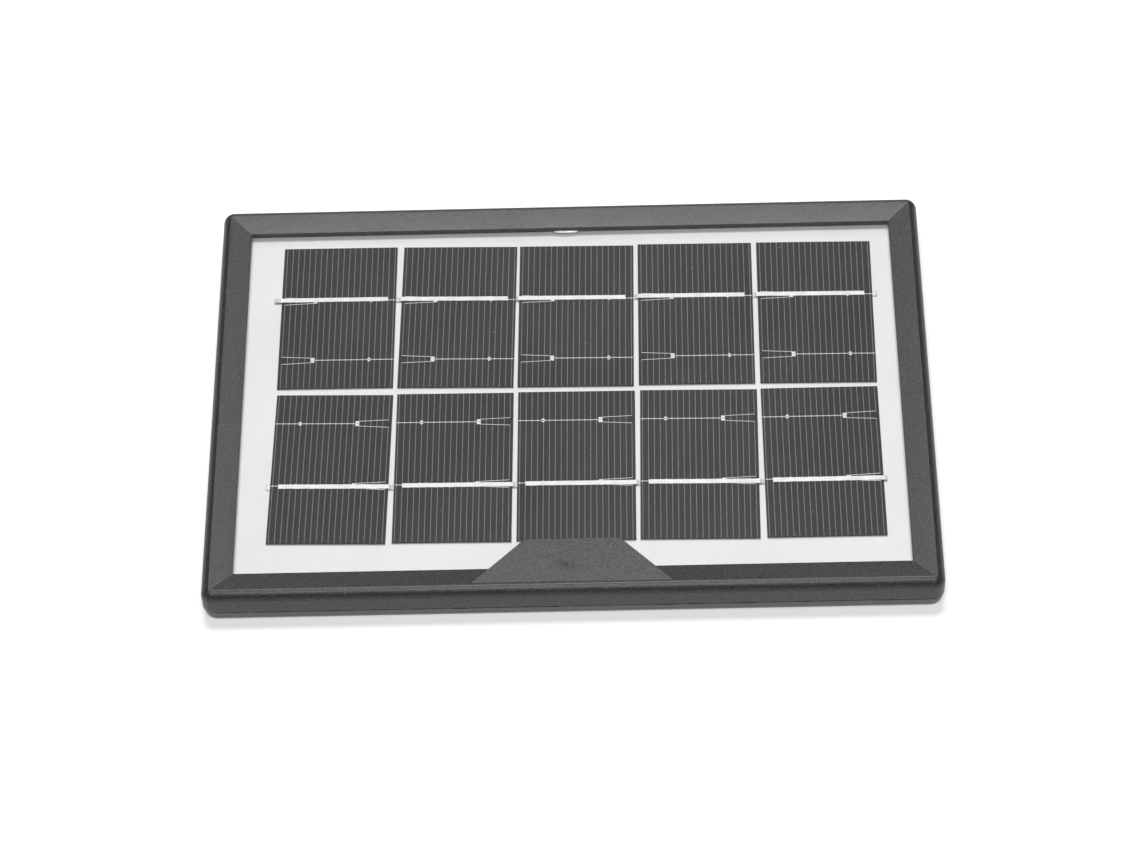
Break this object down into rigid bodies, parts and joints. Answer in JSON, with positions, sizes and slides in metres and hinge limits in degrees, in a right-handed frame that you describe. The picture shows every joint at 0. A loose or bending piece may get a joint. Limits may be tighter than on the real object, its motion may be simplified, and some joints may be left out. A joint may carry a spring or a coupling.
{
  "type": "solar panel",
  "caption": "Small rectangular framed solar panel: half-cut cells under a clear sheet, in a black two-part plastic case with a blank tab, a cable inlet and a threaded mounting insert.",
  "frame": {"origin": "centre of the flat back face", "axes": "+X along the long side, +Y from the blank tab towards the cable inlet's side, +Z out of the sunny face"},
  "size_m": [0.1704, 0.1156, 0.01],
  "materials": {
    "frame_plastic": "fine-grained black moulding",
    "cover_plastic": "smooth black moulding",
    "seam_glue": "dark set adhesive",
    "clear_glue": "clear set adhesive",
    "clear_film": "clear laminated film",
    "white_board": "white satin",
    "silicon": "dark etched silicon",
    "silver_print": "fired silver print",
    "tinned_ribbon": "tinned copper",
    "copper_strip": "tinned copper",
    "diode_body": "moulded epoxy",
    "grommet_rubber": "moulded rubber",
    "brass": "turned brass"
  },
  "bodies": {
    "root": {"front_frame": "frame_plastic", "rear_cover": "cover_plastic", "seam_adhesive": "seam_glue", "laminate_adhesive": "clear_glue", "cover_sheet": "clear_film", "front_encapsulant": "clear_film", "rear_encapsulant": "clear_film", "backing_board": "white_board", "cell_a1": "silicon", "cell_a2": "silicon", "cell_a3": "silicon", "cell_a4": "silicon", "cell_a5": "silicon", "cell_b1": "silicon", "cell_b2": "silicon", "cell_b3": "silicon", "cell_b4": "silicon", "cell_b5": "silicon", "cell_grid_a1": "silver_print", "cell_grid_a2": "silver_print", "cell_grid_a3": "silver_print", "cell_grid_a4": "silver_print", "cell_grid_a5": "silver_print", "cell_grid_b1": "silver_print", "cell_grid_b2": "silver_print", "cell_grid_b3": "silver_print", "cell_grid_b4": "silver_print", "cell_grid_b5": "silver_print", "tab_ribbon_a1": "tinned_ribbon", "tab_ribbon_a2": "tinned_ribbon", "tab_ribbon_a3": "tinned_ribbon", "tab_ribbon_a4": "tinned_ribbon", "tab_ribbon_a5": "tinned_ribbon", "tab_ribbon_a6": "tinned_ribbon", "tab_ribbon_b1": "tinned_ribbon", "tab_ribbon_b2": "tinned_ribbon", "tab_ribbon_b3": "tinned_ribbon", "tab_ribbon_b4": "tinned_ribbon", "tab_ribbon_b5": "tinned_ribbon", "tab_ribbon_b6": "tinned_ribbon", "string_link": "copper_strip", "output_strip_negative": "copper_strip", "output_strip_positive": "copper_strip", "cable_strip_positive": "copper_strip", "blocking_diode": "diode_body", "cable_grommet": "grommet_rubber", "mounting_insert": "brass"}
  },
  "joints": []
}
